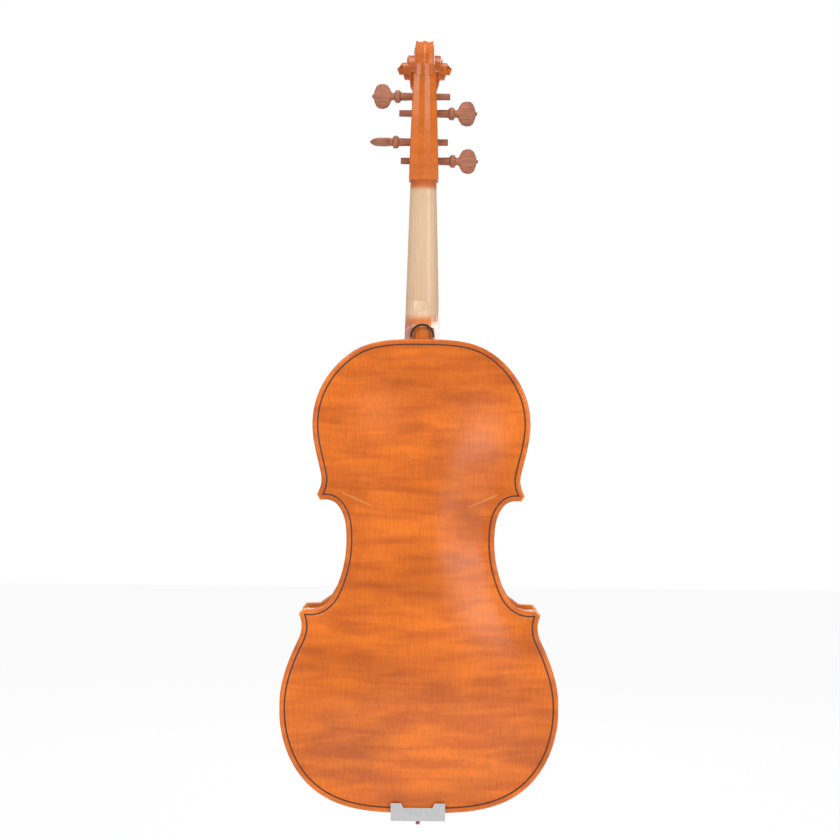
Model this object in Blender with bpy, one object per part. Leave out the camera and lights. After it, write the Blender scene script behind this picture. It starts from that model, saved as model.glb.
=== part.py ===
"""A viola in playing trim, seen in the photograph from its back.

The script works in millimetres and turns them into metres as each object is made. Its x axis runs
to the bass side, y from the back plate to the belly, and z from the lower edge of the body up to the
scroll. y is 0 on the outer face of the back plate's edge. Finished objects are moved so that the
seat under the pegbox, by which a viola hangs, is the world origin.
"""

import math

import bmesh
import bpy
import numpy as np
from mathutils import Matrix, Vector
from mathutils.bvhtree import BVHTree

MM = 0.001
GAP = 0.3  # between pieces that touch or are glued

# Outline of the plates
BODY_LENGTH = 410.0
UPPER_WIDTH = 188.8
UPPER_WIDEST_AT = 336.5
UPPER_CORNER_WIDTH = 180.0
UPPER_CORNER_AT = 275.0
WAIST_WIDTH = 128.0
WAIST_AT = 235.0
LOWER_CORNER_WIDTH = 209.4
LOWER_CORNER_AT = 171.6
LOWER_WIDTH = 242.0
LOWER_WIDEST_AT = 91.0

# Plates
EDGE_THICKNESS = 4.0
EDGE_ROUNDING = 1.7
OVERHANG = 2.8
RIB_HEIGHT = 38.0
RIB_THICKNESS = 1.2
BACK_ARCH = 15.5  # from the rib plane to the top of the arch
BELLY_ARCH = 17.0
CHANNEL_DEPTH = 0.9
CHANNEL_INSET = 9.5
BACK_CENTRE_THICKNESS = 4.6
BELLY_CENTRE_THICKNESS = 3.2
PLATE_FLAT = 8.5  # glued margin inside the edge
PURFLING_INSET = 4.0
PURFLING_WIDTH = 1.3
PURFLING_DEPTH = 1.6
ARCH_MIDDLE_AT = 200.0
SPINE_SHARE = 0.6  # length of the arch's ridge, as a share of the plate's

# Inside the body
RIB_CLEARANCE = 0.9  # behind the ribs, which are flat between their corners
LINING_THICKNESS = 2.0
LINING_HEIGHT = 8.0
END_BLOCK_HALF_WIDTH = 25.0
END_BLOCK_DEPTH = 15.0
CORNER_BLOCK_REACH = 22.0
BASS_BAR_LENGTH = 300.0
BASS_BAR_WIDTH = 5.5
BASS_BAR_HEIGHT = 12.0
BASS_BAR_OFFSET = 17.5
SOUND_POST_DIAMETER = 7.0
SOUND_POST_OFFSET = 19.0
SOUND_POST_BEHIND_BRIDGE = 16.0

# Neck and head
NUT_AT = 553.0
FINGERBOARD_NUT_Y = 49.5
FINGERBOARD_THICKNESS = 9.5
FINGERBOARD_SLOPE = 0.1033
NECK_NUT_WIDTH = 23.5
NECK_ROOT_WIDTH = 32.0
NECK_NUT_DEPTH = 11.0  # of the neck alone, under the fingerboard
NECK_ROOT_DEPTH = 13.5
NECK_ROOT_AT = 402.0
HEEL_CAP_TOP = 420.5
HEEL_CAP_WIDTH = 19.5
HEEL_SWEEP = 34.0
CHIN_AT = 550.3
CHIN_Y = 20.0
SCROLL_EYE_AT = 648.7
SCROLL_EYE_Y = 27.0
SCROLL_TOP_RADIUS = 25.6
SCROLL_SHRINK = 0.113
SCROLL_TURNS = 2.1
SCROLL_STEPS = 20
VOLUTE_UNDERCUT = 1.5
EYE_WIDTH = 41.0
HEAD_CHIN_WIDTH = 26.0
HEAD_TOP_WIDTH = 16.0
HEAD_CHAMFER = 1.2
FLUTE_DEPTH = 1.6
PEGBOX_NUT_Y = 42.0
PEGBOX_WALL = 4.8
PEGBOX_FLOOR = 6.0
THROAT_AT = 632.0
THROAT_Y = 19.0
NUT_LENGTH = 5.5
PEG_SHAFT_DIAMETER = 6.8
PEG_CLEARANCE = 0.3
PEGS = (("c", 1, 568.6), ("a", -1, 584.3), ("g", 1, 608.3), ("d", -1, 622.3))

# Fittings
FINGERBOARD_LENGTH = 310.0
NUT_HEIGHT = 1.2
NUT_FALL = 6.5  # of its crest towards the pegs
NUT_STRING_SPREAD = 17.5
BRIDGE_AT = 194.0
BRIDGE_TOP_Y = 93.0
BRIDGE_CROWN_RADIUS = 48.0
BRIDGE_STRING_SPREAD = 37.0
BRIDGE_FOOT_SPAN = 47.0
BRIDGE_FOOT_THICKNESS = 4.8
BRIDGE_TOP_THICKNESS = 1.6
PEG_COLLAR_DIAMETER = 11.4
TAILPIECE_LENGTH = 122.0
TAILPIECE_HEAD_AT = 140.0
TAILPIECE_HEAD_Y = 76.0
TAILPIECE_FOOT_Y = 64.0
TAILPIECE_HEAD_WIDTH = 46.0
TAILPIECE_FOOT_WIDTH = 24.0
TAIL_STRING_SPREAD = 30.0
TAIL_BUTTON_Y = 23.0
BUTTON_PIN_DIAMETER = 8.0
SADDLE_HEIGHT = 5.0
PEG_TURNS = (90, 0, 90, 90)  # degrees, as the photograph shows the thumb pieces
STRING_DIAMETERS = (1.2, 1.0, 0.9, 0.8)  # from the lowest to the highest
WOUND_TURNS = 3

# Back button and its ebony crown
BUTTON_AT = 412.7
BUTTON_RADIUS = 8.5
CROWN_THICKNESS = 2.1

# Sound holes
F_TOP_X = 27.0
F_TOP_AT = 228.0
F_BOTTOM_X = 62.0
F_BOTTOM_AT = 160.0
F_TOP_EYE = 7.5
F_BOTTOM_EYE = 10.0
F_SLOT = 5.0

# Chin rest
REST_PLATE_Y = 72.0
REST_PLATE_THICKNESS = 5.0
REST_CLAMP_X = 20.5
REST_CLAMP_AT = -3.6
REST_BARREL_DIAMETER = 5.6
REST_SCREW_DIAMETER = 2.6
REST_FOOT_REACH = 9.5

HANGER_SEAT = (0.0, 24.0, 549.0)  # under the pegbox's chin
ORIGIN = HANGER_SEAT

# How finely the outline is drawn: faces along each half bout
UPPER_FACES = 12
WAIST_FACES = 10
LOWER_FACES = 14

BELLY_PLANE = EDGE_THICKNESS + RIB_HEIGHT  # where the ribs meet the belly


def material(name, colour, roughness, metallic=0.0):
    """A plain Principled material."""
    made = bpy.data.materials.new(name)
    made.use_nodes = True
    shader = made.node_tree.nodes["Principled BSDF"]
    shader.inputs["Base Color"].default_value = (*colour, 1.0)
    shader.inputs["Roughness"].default_value = roughness
    shader.inputs["Metallic"].default_value = metallic
    return made


def make(name, points, faces, look, pivot=(0.0, 0.0, 0.0), smooth=40.0):
    """One object from points in the script's millimetres, with its own origin at the pivot."""
    mesh = bpy.data.meshes.new(name)
    anchor = Vector(pivot)
    mesh.from_pydata([(Vector(p) - anchor) * MM for p in points], [], faces)
    tidy(mesh)
    if smooth:
        mesh.shade_smooth()
        mesh.set_sharp_from_angle(angle=math.radians(smooth))
    made = bpy.data.objects.new(name, mesh)
    bpy.context.collection.objects.link(made)
    made.location = (anchor - Vector(ORIGIN)) * MM
    made.data.materials.append(look)
    return made


def tidy(mesh):
    """Merge doubled points, drop the empty faces they leave, and turn every face outwards."""
    work = bmesh.new()
    work.from_mesh(mesh)
    bmesh.ops.remove_doubles(work, verts=work.verts, dist=0.01 * MM)
    bmesh.ops.dissolve_degenerate(work, edges=work.edges, dist=0.001 * MM)
    bmesh.ops.triangulate(work, faces=[f for f in work.faces if len(f.verts) > 3])
    bmesh.ops.recalc_face_normals(work, faces=work.faces)
    work.to_mesh(mesh)
    work.free()


def skin(rings, wrap=False, caps=True):
    """Points and faces of a surface through closed rings of equally many points."""
    count = len(rings[0])
    points = [tuple(p) for ring in rings for p in ring]
    faces = []
    last = len(rings) if wrap else len(rings) - 1
    for i in range(last):
        a = i * count
        b = ((i + 1) % len(rings)) * count
        for j in range(count):
            k = (j + 1) % count
            faces.append((a + j, a + k, b + k, b + j))
    if caps and not wrap:
        faces.append(tuple(range(count)))
        faces.append(tuple((len(rings) - 1) * count + j for j in range(count)))
    return points, faces


def prism(outline, low, high):
    """A shape in x and z, drawn out along y."""
    return skin([[(x, low, z) for x, z in outline], [(x, high, z) for x, z in outline]])


def boolean(target, cutter, operation="DIFFERENCE"):
    """Join or cut with another object, which is then only a guide."""
    step = target.modifiers.new(cutter.name, "BOOLEAN")
    step.operation = operation
    step.solver = "EXACT"
    step.object = cutter
    cutter.hide_render = True
    cutter.display_type = "WIRE"
    return step


# Outline curves

def arc(start, end, count):
    """A nearly round arc between two nodes, each an x, a z and a heading in degrees."""
    a, b = math.radians(start[2]), math.radians(end[2])
    turn = (b - a + math.pi) % (2 * math.pi) - math.pi
    reach = math.dist(start[:2], end[:2]) / (3 * math.cos(turn / 4) ** 2)
    p = np.array([
        start[:2],
        (start[0] + reach * math.cos(a), start[1] + reach * math.sin(a)),
        (end[0] - reach * math.cos(b), end[1] - reach * math.sin(b)),
        end[:2],
    ])
    t = np.linspace(0, 1, count)[:, None]
    return (1 - t) ** 3 * p[0] + 3 * (1 - t) ** 2 * t * p[1] + 3 * (1 - t) * t * t * p[2] + t ** 3 * p[3]


def through(nodes, count=16):
    """Arcs through a row of nodes, as one polyline."""
    runs = [arc(a, b, count) for a, b in zip(nodes, nodes[1:])]
    return np.vstack([runs[0]] + [run[1:] for run in runs[1:]])


def bouts():
    """The bass half of the outline: upper bout, waist and lower bout, from top to bottom."""
    corner = UPPER_CORNER_WIDTH / 2
    lower_corner = LOWER_CORNER_WIDTH / 2
    upper = [
        (0, BODY_LENGTH, 0),
        (0.65 * UPPER_WIDTH / 2, BODY_LENGTH - 12, -35),
        (UPPER_WIDTH / 2, UPPER_WIDEST_AT, -90),
        (corner - 3.5, UPPER_CORNER_AT + 17.7, -103),
        (corner, UPPER_CORNER_AT, -58),
    ]
    waist = [
        (corner - 2.8, UPPER_CORNER_AT - 5, 169),
        (WAIST_WIDTH / 2 + 8.9, UPPER_CORNER_AT - 8.1, 225),
        (WAIST_WIDTH / 2, WAIST_AT, 270),
        (WAIST_WIDTH / 2 + 10.5, LOWER_CORNER_AT + 18, 296),
        (lower_corner - 3.9, LOWER_CORNER_AT + 4.7, 377),
    ]
    lower = [
        (lower_corner, LOWER_CORNER_AT, -118),
        (lower_corner, LOWER_CORNER_AT - 21.9, -64),
        (LOWER_WIDTH / 2, LOWER_WIDEST_AT, -90),
        (0.707 * LOWER_WIDTH / 2, 16, 214),
        (0, 0, 180),
    ]
    return [through(nodes) for nodes in (upper, waist, lower)]


def inset(points, distance, before=True, after=True):
    """A curve moved to its right, with a straight run added at the ends that meet a corner."""
    ahead = np.gradient(points, axis=0)
    ahead /= np.linalg.norm(ahead, axis=1)[:, None]
    moved = points + distance * np.stack([ahead[:, 1], -ahead[:, 0]], axis=1)
    if before:
        moved = np.vstack([moved[0] - 30 * ahead[0], moved])
    if after:
        moved = np.vstack([moved, moved[-1] + 30 * ahead[-1]])
    return moved


def crossing(one, two):
    """How far along each of two polylines their first crossing lies, counted in points."""
    for i in range(len(one) - 1):
        a, r = one[i], one[i + 1] - one[i]
        b, s = two[:-1], two[1:] - two[:-1]
        cross = r[0] * s[:, 1] - r[1] * s[:, 0]
        cross[np.abs(cross) < 1e-12] = 1e-12
        gap = b - a
        t = (gap[:, 0] * s[:, 1] - gap[:, 1] * s[:, 0]) / cross
        u = (gap[:, 0] * r[1] - gap[:, 1] * r[0]) / cross
        hit = np.nonzero((t >= 0) & (t <= 1) & (u >= 0) & (u <= 1))[0]
        if len(hit):
            j = hit[0]
            return i + t[j], j + u[j]
    return None


def portion(points, start, end):
    """The stretch of a polyline between two places, counted in points."""
    index = np.arange(len(points))
    places = [start] + [i for i in index if start < i < end] + [end]
    return np.stack([np.interp(places, index, points[:, k]) for k in (0, 1)], axis=1)


def spaced(points, count, skip_start=0.0, skip_end=0.0):
    """A polyline drawn again with equal steps, leaving out a length at either end."""
    steps = np.linalg.norm(np.diff(points, axis=0), axis=1)
    along = np.concatenate([[0], np.cumsum(steps)])
    wanted = np.linspace(skip_start, along[-1] - skip_end, count + 1)
    return np.stack([np.interp(wanted, along, points[:, k]) for k in (0, 1)], axis=1)


def corner_ends(first, second, tip_first, tip_second, distance):
    """Where two inset bouts end at their corner: on its blunt tip, or where they cross."""
    meet = crossing(first, second)
    tip = inset(np.array([tip_first, (tip_first + tip_second) / 2, tip_second]), distance)
    on_first, on_second = crossing(first, tip), crossing(second, tip)
    if on_first is None or on_second is None or on_first[0] > meet[0]:
        return meet
    return on_first[0], on_second[0]


def inset_bouts(distance):
    """The three curves of the bass half of the outline, moved in and cut off at the corners."""
    upper, waist, lower = bouts()
    curves = [
        inset(upper, distance, before=False),
        inset(waist, distance),
        inset(lower, distance, after=False),
    ]
    end_upper, start_waist = corner_ends(curves[0], curves[1], upper[-1], waist[0], distance)
    end_waist, start_lower = corner_ends(curves[1], curves[2], waist[-1], lower[0], distance)
    return [
        portion(curves[0], 0, end_upper),
        portion(curves[1], start_waist, end_waist),
        portion(curves[2], start_lower, len(curves[2]) - 1),
    ]


def half_ring(distance):
    """Evenly spaced points on the bass half of the outline, moved in by a distance."""
    counts = (UPPER_FACES, WAIST_FACES, LOWER_FACES)
    return np.vstack([spaced(run, n) for run, n in zip(inset_bouts(distance), counts)])


def full_ring(half):
    """The bass half of a ring and its mirror image, as one closed row of x and z."""
    left = [(-x, z) for x, z in half[-2:0:-1]]
    return [tuple(p) for p in half] + left


# Plates

def spine_at(z):
    """The height on the arch's ridge that a point of the outline leans towards."""
    return ARCH_MIDDLE_AT + (z - ARCH_MIDDLE_AT) * SPINE_SHARE


def ridge(z):
    """Share of the full arch that the ridge has at a height."""
    return 1 - 0.32 * ((z - ARCH_MIDDLE_AT) / (BODY_LENGTH / 2)) ** 2


def lean(half, share):
    """A half ring drawn in towards the ridge."""
    return np.stack([half[:, 0] * (1 - share), half[:, 1] + (spine_at(half[:, 1]) - half[:, 1]) * share], axis=1)


def swell(share):
    """Height across the arch, from 0 at the channel to 1 on the ridge."""
    return 0.5 - 0.5 * math.cos(math.pi * share ** 0.86)


def plate_rings(plane, out, arch, centre_thickness):
    """Rings of one plate from its outer ridge, round its edge, to its inner ridge."""
    face = plane + out * EDGE_THICKNESS
    channel_half = half_ring(CHANNEL_INSET)
    flat_half = half_ring(PLATE_FLAT)
    rings = []

    def level(half, depth):
        rings.append([(x, face - out * depth, z) for x, z in full_ring(half)])

    def arched(base, base_y, rise, share):
        half = lean(base, share)
        lift = [rise * swell(share) * ridge(spine_at(z)) for _, z in full_ring(base)]
        rings.append([(x, base_y + out * up, z) for (x, z), up in zip(full_ring(half), lift)])

    rise = arch - EDGE_THICKNESS + CHANNEL_DEPTH
    for share in (1.0, 0.78, 0.52, 0.26):
        arched(channel_half, face - out * CHANNEL_DEPTH, rise, share)
    level(channel_half, CHANNEL_DEPTH)
    groove_out = PURFLING_INSET - GAP
    groove_in = PURFLING_INSET + PURFLING_WIDTH + GAP
    level(half_ring(groove_in), CHANNEL_DEPTH * 0.6)
    level(half_ring(groove_in), PURFLING_DEPTH + GAP)
    level(half_ring(groove_out), PURFLING_DEPTH + GAP)
    level(half_ring(groove_out), CHANNEL_DEPTH * 0.35)
    level(half_ring(EDGE_ROUNDING), 0.0)
    level(half_ring(EDGE_ROUNDING * 0.3), EDGE_ROUNDING * 0.35)
    level(half_ring(0), EDGE_THICKNESS * 0.5)
    level(half_ring(EDGE_ROUNDING * 0.3), EDGE_THICKNESS - EDGE_ROUNDING * 0.25)
    level(half_ring(EDGE_ROUNDING), EDGE_THICKNESS)
    level(flat_half, EDGE_THICKNESS)
    rise = arch - centre_thickness
    for share in (0.3, 0.65, 1.0):
        arched(flat_half, plane, rise, share)
    return rings


def plate(name, plane, out, arch, centre_thickness, look):
    """A carved plate, hollow inside, with a groove for its purfling."""
    points, faces = skin(plate_rings(plane, out, arch, centre_thickness), caps=False)
    return make(name, points, faces, look)


def purfling(name, plane, out, look):
    """The inlaid strip that runs round a plate just inside its edge."""
    face = plane + out * (EDGE_THICKNESS - CHANNEL_DEPTH * 0.45)
    floor = plane + out * (EDGE_THICKNESS - PURFLING_DEPTH)
    outer = full_ring(half_ring(PURFLING_INSET))
    inner = full_ring(half_ring(PURFLING_INSET + PURFLING_WIDTH))
    rings = [[(x, y, z) for x, z in ring] for ring, y in ((outer, face), (inner, face), (inner, floor), (outer, floor))]
    points, faces = skin(rings, wrap=True)
    return make(name, points, faces, look)


# Ribs, linings and blocks

def band(name, bout, count, near, far, low, high, skips, side, look):
    """A strip that follows one bout between two insets, standing between two heights."""
    outer = spaced(inset_bouts(near)[bout], count, *skips)
    inner = spaced(inset_bouts(far)[bout], count, *skips)
    outline = [(side * x, z) for x, z in np.vstack([outer, inner[::-1]])]
    points, faces = prism_strip(outline, low, high)
    return make(name, points, faces, look)


def prism_strip(outline, low, high):
    """A bent strip drawn out along y, with its end faces split into matching quads."""
    count = len(outline)
    points = [(x, y, z) for y in (low, high) for x, z in outline]
    faces = [(j, (j + 1) % count, count + (j + 1) % count, count + j) for j in range(count)]
    for base in (0, count):
        for j in range(count // 2 - 1):
            faces.append((base + j, base + j + 1, base + count - 2 - j, base + count - 1 - j))
    return points, faces


RIB_CORNER_GAP = 0.7
BOUT_NAMES = ("upper", "waist", "lower")
SIDES = (("bass", 1), ("treble", -1))


def rib_skips(bout):
    """Lengths left out at a rib's two ends: at the neck root, the corners and the tail joint."""
    neck = NECK_ROOT_WIDTH / 2 + GAP
    return ((neck, RIB_CORNER_GAP), (RIB_CORNER_GAP, RIB_CORNER_GAP), (RIB_CORNER_GAP, GAP / 2))[bout]


def lining_skips(bout):
    """Lengths left out at a lining's ends, where the blocks stand."""
    end = END_BLOCK_HALF_WIDTH + GAP
    corner = CORNER_BLOCK_REACH + GAP
    return ((end, corner), (corner, corner), (corner, end))[bout]


def build_ribs(look):
    """Six ribs between the plates."""
    counts = (UPPER_FACES, WAIST_FACES, LOWER_FACES)
    for side_name, side in SIDES:
        for bout, bout_name in enumerate(BOUT_NAMES):
            rib = band(f"rib_{bout_name}_{side_name}", bout, counts[bout], OVERHANG, OVERHANG + RIB_THICKNESS,
                       EDGE_THICKNESS + GAP, BELLY_PLANE - GAP, rib_skips(bout), side, look)
            if bout == 2:
                boolean(rib, end_button_hole())


def build_linings(look):
    """Twelve linings, glued inside the ribs along both plates."""
    near = OVERHANG + RIB_THICKNESS + RIB_CLEARANCE
    bottom = EDGE_THICKNESS + GAP
    top = BELLY_PLANE - GAP
    counts = (UPPER_FACES, WAIST_FACES, LOWER_FACES)
    for side_name, side in SIDES:
        for bout, bout_name in enumerate(BOUT_NAMES):
            for end, low, high in (("back", bottom, bottom + LINING_HEIGHT), ("belly", top - LINING_HEIGHT, top)):
                band(f"lining_{bout_name}_{side_name}_{end}", bout, counts[bout], near, near + LINING_THICKNESS,
                     low, high, lining_skips(bout), side, look)


def build_blocks(look):
    """Top and bottom blocks and the four corner blocks."""
    near = OVERHANG + RIB_THICKNESS + RIB_CLEARANCE
    low, high = EDGE_THICKNESS + GAP, BELLY_PLANE - GAP
    upper, waist, lower = inset_bouts(near)

    def first(curve, reach, count=5):
        return spaced(curve, count, 0, length(curve) - reach)

    top = first(upper, END_BLOCK_HALF_WIDTH)
    bottom = first(lower[::-1], END_BLOCK_HALF_WIDTH)
    for name, run, inward in (("block_top", top, -END_BLOCK_DEPTH), ("block_bottom", bottom, END_BLOCK_DEPTH)):
        mirror = [(-x, z) for x, z in run[:0:-1]]
        outline = mirror + [tuple(p) for p in run]
        deep = run[0][1] + inward
        outline += [(run[-1][0], deep), (-run[-1][0], deep)]
        made = make(name, *prism(outline, low, high), look)
        if name == "block_top":
            boolean(made, neck_root_cutter())
        else:
            boolean(made, end_button_hole())
    for side_name, side in SIDES:
        joints = (
            (f"block_upper_corner_{side_name}", first(upper[::-1], CORNER_BLOCK_REACH), first(waist, CORNER_BLOCK_REACH)),
            (f"block_lower_corner_{side_name}", first(waist[::-1], CORNER_BLOCK_REACH), first(lower, CORNER_BLOCK_REACH)),
        )
        for name, one, two in joints:
            outline = [(side * x, z) for x, z in np.vstack([one[::-1], two])]
            make(name, *prism(outline, low, high), look)


def end_button_hole():
    """The hole through the lower ribs and the bottom block for the end button's pin."""
    radius = BUTTON_PIN_DIAMETER / 2 + GAP
    return rod("end_button_hole", radius, (0, TAIL_BUTTON_Y, -20), (0, TAIL_BUTTON_Y, 30))


def length(points):
    """Length of a polyline."""
    return float(np.linalg.norm(np.diff(points, axis=0), axis=1).sum())


def rod(name, radius, start, end, sides=24, look=None, end_radius=None):
    """A round bar between two points; without a material it is a guide for cutting."""
    a, b = Vector(start), Vector(end)
    turn = (b - a).to_track_quat("Z", "Y").to_matrix()
    far = radius if end_radius is None else end_radius
    rings = []
    for centre, r in ((a, radius), (b, far)):
        ring = []
        for k in range(sides):
            angle = 2 * math.pi * k / sides
            ring.append(tuple(centre + turn @ Vector((r * math.cos(angle), r * math.sin(angle), 0))))
        rings.append(ring)
    points, faces = skin(rings)
    return make(name, points, faces, look or GUIDE())


def GUIDE():
    """The material that guides share."""
    return bpy.data.materials.get("guide") or material("guide", (0.5, 0.5, 0.5), 0.5)


def surface(target):
    """A tree for asking how far a piece reaches, in the script's millimetres."""
    mesh = target.data
    shift = target.location / MM + Vector(ORIGIN)
    points = [v.co / MM + shift for v in mesh.vertices]
    return BVHTree.FromPolygons(points, [tuple(p.vertices) for p in mesh.polygons])


def height_on(tree, x, z, start, along):
    """The y at which a line along y first meets a surface."""
    hit = tree.ray_cast(Vector((x, start, z)), Vector((0, along, 0)))
    return hit[0].y


def build_bass_bar(belly, look):
    """The bar glued under the belly, deepest under the bridge and thin at its ends."""
    tree = surface(belly)
    middle = BRIDGE_AT + 5
    rings = []
    for k in range(13):
        share = k / 12 * 2 - 1
        z = middle + share * BASS_BAR_LENGTH / 2
        x = BASS_BAR_OFFSET - 0.012 * (z - BRIDGE_AT)
        top = min(height_on(tree, x + s * BASS_BAR_WIDTH / 2, z, EDGE_THICKNESS + 10, 1) for s in (-1, 0, 1)) - GAP - 0.1
        depth = 3.5 + (BASS_BAR_HEIGHT - 3.5) * (1 - share * share) ** 1.5
        w = BASS_BAR_WIDTH / 2
        rings.append([(x - w, top - 0.25, z), (x + w, top - 0.25, z), (x + w, top - depth * 0.6, z), (x + 1.2, top - depth, z),
                      (x - 1.2, top - depth, z), (x - w, top - depth * 0.6, z)])
    return make("bass_bar", *skin(rings), look)


def build_sound_post(back, belly, look):
    """The post that stands between the plates behind the bridge's treble foot."""
    z = BRIDGE_AT - SOUND_POST_BEHIND_BRIDGE
    inside = (EDGE_THICKNESS + BELLY_PLANE) / 2
    back_tree, belly_tree = surface(back), surface(belly)
    reach = SOUND_POST_DIAMETER / 2
    spots = [(-SOUND_POST_OFFSET + sx * reach, z + sz * reach) for sx in (-1, 0, 1) for sz in (-1, 0, 1)]
    low = max(height_on(back_tree, x, zz, inside, -1) for x, zz in spots) + GAP
    high = min(height_on(belly_tree, x, zz, inside, 1) for x, zz in spots) - GAP
    return rod("sound_post", reach, (-SOUND_POST_OFFSET, low, z), (-SOUND_POST_OFFSET, high, z), 16, look)


# Neck and head

def neck_top(z):
    """The flat on which the fingerboard is glued."""
    return FINGERBOARD_NUT_Y - FINGERBOARD_THICKNESS + (NUT_AT - z) * FINGERBOARD_SLOPE


def neck_half_width(z):
    """Half the neck's width at the fingerboard, from the nut down to the body."""
    share = (NUT_AT - z) / (NUT_AT - BODY_LENGTH)
    return (NECK_NUT_WIDTH + (NECK_ROOT_WIDTH - NECK_NUT_WIDTH) * share) / 2


def neck_back(z):
    """The y of the neck's rounded back, which sweeps out into the heel and into the chin."""
    share = (z - BODY_LENGTH) / (NUT_AT - BODY_LENGTH)
    shaft = neck_top(z) - (NECK_ROOT_DEPTH + (NECK_NUT_DEPTH - NECK_ROOT_DEPTH) * share)
    heel = max(0.0, 1 - (z - HEEL_CAP_TOP) / HEEL_SWEEP) if z > HEEL_CAP_TOP else 1.0
    heel_y = EDGE_THICKNESS + GAP
    ease = heel ** 3.2
    y = shaft + (heel_y - shaft) * ease
    chin = min(1.0, max(0.0, (z - (CHIN_AT - 9)) / 14))
    return y + (CHIN_Y - shaft) * chin ** 1.7


def neck_section(z):
    """Half of the neck's section at one height, from its flat top round to the middle of its back."""
    half = neck_half_width(z)
    top = neck_top(z)
    back = neck_back(z)
    boxy = min(1.0, max(0.0, (top - back - NECK_ROOT_DEPTH) / 22))
    power = 1.0 - 0.62 * boxy
    narrow = boxy * (1 - HEEL_CAP_WIDTH / 2 / half)
    section = [(half, top)]
    for k in range(7):
        angle = math.pi / 2 * k / 6
        down = math.sin(angle) ** power
        across = math.cos(angle) ** power if k < 6 else 0.0
        section.append((half * across * (1 - narrow * down), top - 2.0 - (top - 2.0 - back) * down))
    return section


def neck_ring(z):
    """The neck's whole section as a closed ring."""
    half = neck_section(z)
    return [(x, y, z) for x, y in half] + [(-x, y, z) for x, y in half[-2::-1]]


def build_neck_shaft(look):
    """Heel and shaft, as one loft."""
    root = NECK_ROOT_AT
    low = [root, BODY_LENGTH, HEEL_CAP_TOP - 4, HEEL_CAP_TOP]
    heel = [HEEL_CAP_TOP + HEEL_SWEEP * s for s in (0.08, 0.18, 0.32, 0.5, 0.75, 1.0)]
    shaft = [NUT_AT - s for s in (60, 25, 8, 0)]
    chin = [CHIN_AT + s for s in (-6, -3, 0, 3)]
    heights = sorted(set(low + heel + shaft + chin))
    return make("neck_scroll", *skin([neck_ring(z) for z in heights]), look)


def head_back(z):
    """The y of the head's back along the pegbox: an S from the chin to the back of the scroll."""
    share = (z - CHIN_AT) / (SCROLL_EYE_AT - CHIN_AT)
    top = SCROLL_EYE_Y - spiral(-math.pi / 2)
    return CHIN_Y + (top - CHIN_Y) * (share + 0.45 * share * (1 - share))


def head_front(z):
    """The y of the pegbox's open front, from the nut to the throat of the scroll."""
    if z <= NUT_AT + NUT_LENGTH:
        return neck_top(NUT_AT)
    share = (z - NUT_AT) / (THROAT_AT - NUT_AT)
    return PEGBOX_NUT_Y + (THROAT_Y - PEGBOX_NUT_Y) * (share + 0.12 * share * (1 - share))


def head_half_width(z):
    """Half the head's width, tapering from the chin to the top."""
    share = (z - CHIN_AT) / (SCROLL_EYE_AT + SCROLL_TOP_RADIUS - CHIN_AT)
    return (HEAD_CHIN_WIDTH + (HEAD_TOP_WIDTH - HEAD_CHIN_WIDTH) * max(0.0, share) ** 1.25) / 2


def spiral(angle):
    """The scroll's radius; the angle runs from the top over the front, 0 at the top."""
    return SCROLL_TOP_RADIUS * math.exp(-SCROLL_SHRINK * angle)


def volute_half_width(angle):
    """Half the width across the volute's edges, which grows as it winds in to the eye."""
    turns = max(0.0, angle) / (2 * math.pi)
    swell_in = EYE_WIDTH / 2 - HEAD_TOP_WIDTH / 2
    return HEAD_TOP_WIDTH / 2 + swell_in * (turns / SCROLL_TURNS) ** 0.8


def polar(angle, radius, x):
    """A point of the scroll."""
    return (x, SCROLL_EYE_Y + radius * math.sin(angle), SCROLL_EYE_AT + radius * math.cos(angle))


def flute(half):
    """Columns across the head's back: chamfers at the edges, two hollows and a ridge between them."""
    edge = HEAD_CHAMFER
    across = (half, half - edge * 0.5, half - edge, half * 0.45, 0.7, 0.0)
    depth = (edge, 0.0, 0.35, FLUTE_DEPTH, 0.15, 0.0)
    return list(zip(across, depth))


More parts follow.
